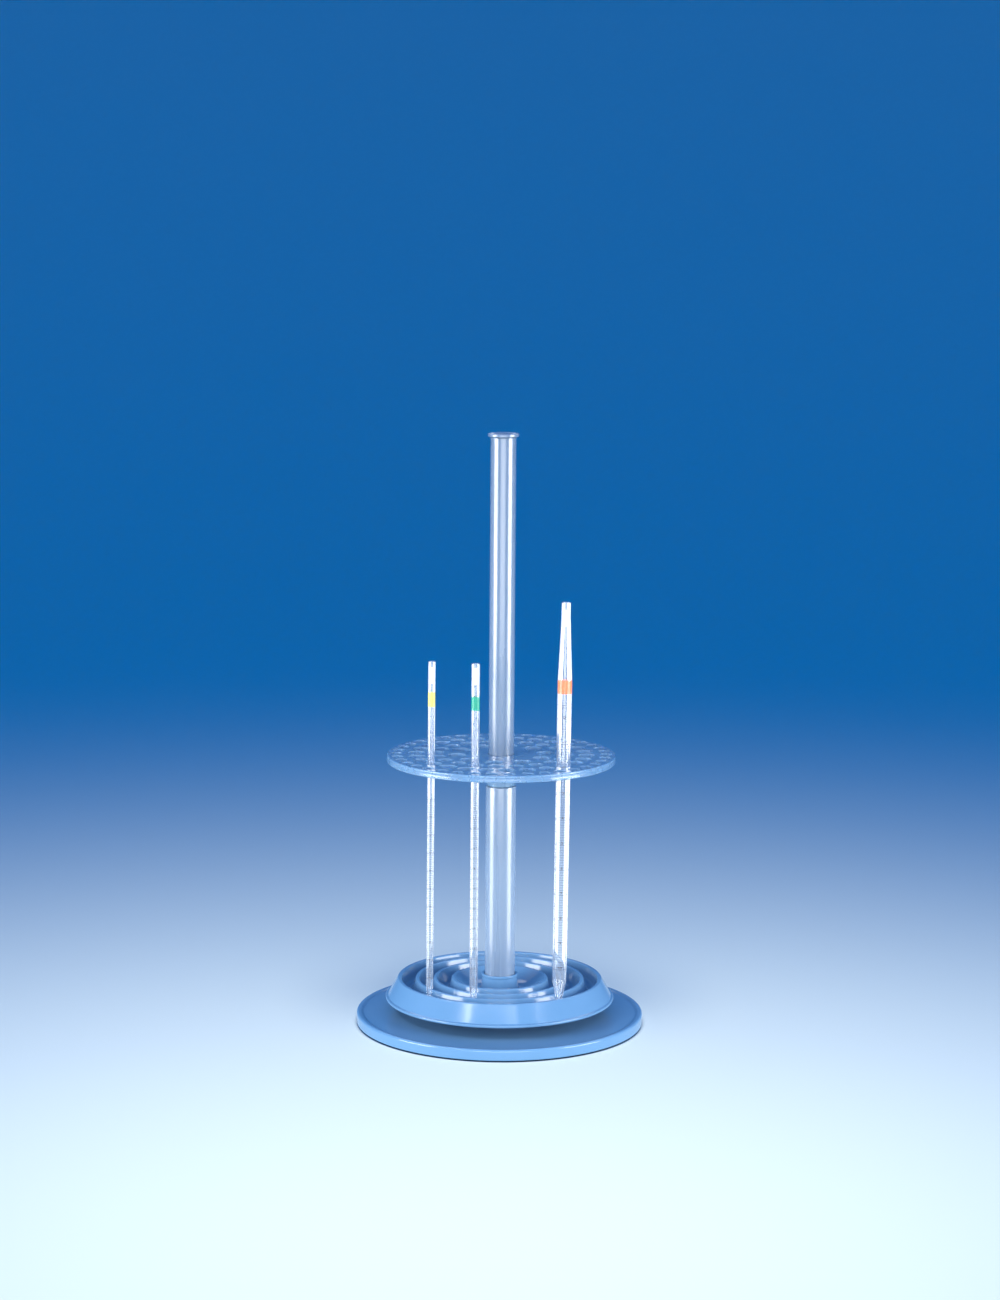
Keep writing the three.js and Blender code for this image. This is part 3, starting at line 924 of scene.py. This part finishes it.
def glass_panels(colour):
    """Two white panels close behind a pipette, one each side of what is straight behind it as the
    camera sees it. Only its own glass sees them: they give it white sides and a clear middle."""
    only = receivers(f"{colour}_panel_receivers", [f"{colour}_tube"])
    stance, length, radius, _ = measure(colour)
    middle = stance @ Vector((0, 0, length / 2 * MM))
    back, bottom, width, height, clear_share = 0.13, 0.002, 0.25, 0.4, 0.36
    behind = middle.x + (middle.x - EYE_X) * (back - middle.y) / (middle.y - EYE_Y)
    turn = turn_in_glass(clear_share, PIPETTES[colour]["bore"], radius)
    gap = (back - middle.y) * math.tan(turn)
    for side in (-1, 1):
        place = Vector((behind + side * (gap + width / 2), back, bottom + height / 2))
        soft_box(f"{colour}_panel", place, place + Vector((0, -1, 0)), (width, height),
                 radiance=1.1, only=only)


def lighting():
    """Soft boxes that each fall on some pieces only, and a blue surround."""
    heart = (0, 0, 0.2)
    tubes = [f"{colour}_tube" for colour in PIPETTES]
    bands = [f"{colour}_band" for colour in PIPETTES]
    solid = [o.name for o in bpy.context.scene.objects if o.type == "MESH" and o.name != "floor"]
    stand = receivers("stand_pieces", solid)
    upright = receivers("upright_pieces", bands + ["post_lower", "post_upper"])
    glass = receivers("glass_pieces", tubes)
    plate = receivers("plate_pieces", ["base_moulding"])
    floor = receivers("floor_pieces", ["floor"])
    for name, side, high_width in (("left", -1, 1.0), ("right", 1, 0.5)):
        soft_box(f"{name}_box", around(side * 67, 1.3, 0.3), heart, (0.75, 0.6), radiance=14,
                 only=stand)
        soft_box(f"{name}_high_box", around(side * 58, 1.2, 1.3), heart, (high_width, 0.2),
                 radiance=14, only=stand)
        soft_box(f"{name}_strip", around(side * 69, 0.2, 0.11), (0, 0, 0.11), (0.115, 0.22),
                 radiance=5, only=upright)
        soft_box(f"{name}_rear_panel", around(side * 108, 0.6, 0.3), heart, (0.5, 0.6),
                 radiance=1.5, only=glass)
    for colour in PIPETTES:
        glass_panels(colour)
    soft_box("front_fill", around(0, 1.5, 0.3), heart, (1.2, 0.6), radiance=5, only=stand)
    soft_box("front_high_box", around(-8, 0.95, 1.15), heart, (1.1, 0.14), radiance=5, only=stand)
    soft_box("rear_fill", around(180, 1.2, 1.2), heart, (1.4, 0.5), radiance=2.2, only=stand)
    soft_box("base_fill", around(0, 1.0, 0.12), (0, 0, 0.01), (1.4, 0.2), radiance=3, only=plate)
    soft_box("floor_box", (0, -0.5, 1.3), (0, -0.5, 0), (0.8, 0.8), radiance=14, spread=111,
             only=floor, colour=(0.92, 1.0, 0.9))
    world = bpy.data.worlds.new("studio")
    bpy.context.scene.world = world
    world.use_nodes = True
    background = world.node_tree.nodes["Background"]
    background.inputs["Color"].default_value = (0.0, 0.21, 0.70, 1)
    background.inputs["Strength"].default_value = 1.0


def camera():
    """The viewpoint: a long lens a little above the disc, slightly rolled."""
    elevation, distance, roll = 0.1535, 2.17475, 0.0071
    target = Vector((-0.0015, 0, 0.2873))
    data = bpy.data.cameras.new("camera")
    data.sensor_fit = "AUTO"
    data.sensor_width = 36
    data.lens = 80.268
    data.clip_start, data.clip_end = 0.05, 30
    eye = bpy.data.objects.new("camera", data)
    forward = Vector((0, math.cos(elevation), -math.sin(elevation)))
    aim = forward.to_track_quat("-Z", "Y").to_matrix().to_4x4()
    place = Matrix.Translation(target - forward * distance)
    eye.matrix_world = place @ aim @ Matrix.Rotation(roll, 4, "Z")
    bpy.context.scene.collection.objects.link(eye)
    bpy.context.scene.camera = eye


stage_floor()
lighting()
camera()
bpy.context.scene.view_settings.view_transform = "Standard"
